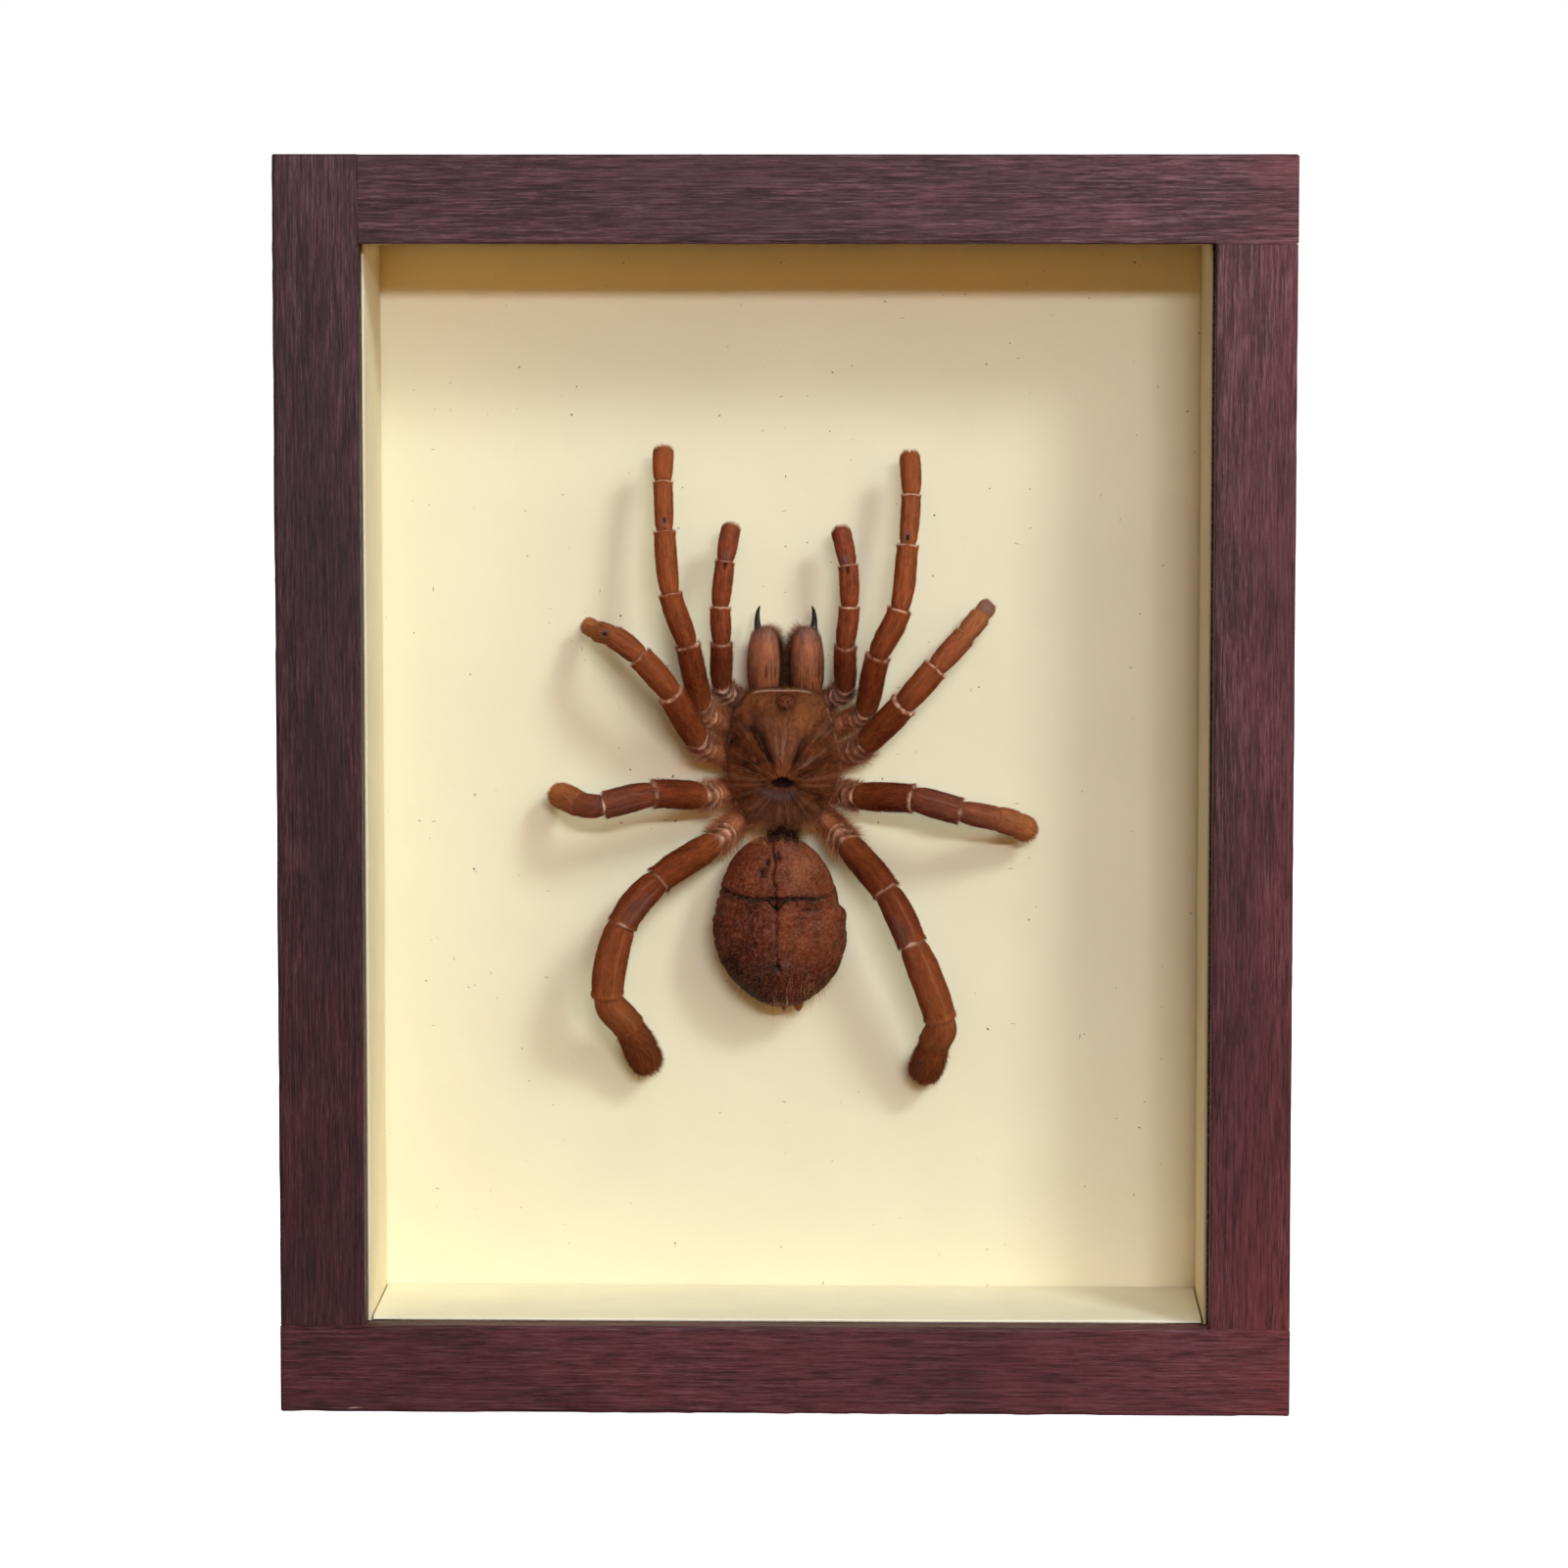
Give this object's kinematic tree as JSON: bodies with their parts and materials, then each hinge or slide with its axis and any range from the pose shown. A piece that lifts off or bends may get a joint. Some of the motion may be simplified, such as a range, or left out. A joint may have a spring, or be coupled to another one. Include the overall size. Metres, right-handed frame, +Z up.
{
  "type": "framed tarantula specimen",
  "caption": "Dried, spread tarantula on a cream board inside a deep glass-fronted shadow box with a dark stained wooden frame; stands on its bottom edge or hangs on a wall.",
  "frame": {"origin": "middle of the footprint, on the surface that the frame's bottom edge stands on", "axes": "+Z up along the frame's height, -Y out of the glass front, +X to the viewer's right"},
  "size_m": [0.201, 0.05, 0.25],
  "materials": {
    "stained_wood": "dark plum stain over brushed grain, satin",
    "clear_glass": "clear, polished",
    "cream_liner": "cream, matte",
    "cream_paper": "cream handmade paper with sparse specks, matte",
    "hardboard": "brown hardboard, matte",
    "zinc_plated_steel": "zinc plated, satin",
    "hanger_steel": "plated, satin",
    "carapace_fur": "short dark brown fur, matte",
    "abdomen_hide": "dried wrinkled brown hide, matte to satin",
    "chelicera_fur": "pinkish brown fur, matte",
    "fang_horn": "black horn, glossy",
    "limb_fur": "short reddish brown fur, matte"
  },
  "bodies": {
    "root": {"frame_left_stile": "stained_wood", "frame_right_stile": "stained_wood", "frame_top_rail": "stained_wood", "frame_bottom_rail": "stained_wood", "glass_pane": "clear_glass", "liner_left": "cream_liner", "liner_right": "cream_liner", "liner_top": "cream_liner", "liner_bottom": "cream_liner", "mount_board": "cream_paper", "back_panel": "hardboard", "panel_point_left_lower": "zinc_plated_steel", "panel_point_left_upper": "zinc_plated_steel", "panel_point_right_lower": "zinc_plated_steel", "panel_point_right_upper": "zinc_plated_steel", "panel_point_bottom": "zinc_plated_steel", "panel_point_top": "zinc_plated_steel", "sawtooth_hanger": "hanger_steel", "hanger_rivet_left": "hanger_steel", "hanger_rivet_right": "hanger_steel", "cephalothorax": "carapace_fur", "abdomen": "abdomen_hide", "chelicera_left": "chelicera_fur", "chelicera_right": "chelicera_fur", "fang_left": "fang_horn", "fang_right": "fang_horn", "pedipalp_left": "limb_fur", "pedipalp_right": "limb_fur", "leg_1_left": "limb_fur", "leg_1_right": "limb_fur", "leg_2_left": "limb_fur", "leg_2_right": "limb_fur", "leg_3_left": "limb_fur", "leg_3_right": "limb_fur", "leg_4_left": "limb_fur", "leg_4_right": "limb_fur"}
  },
  "joints": []
}
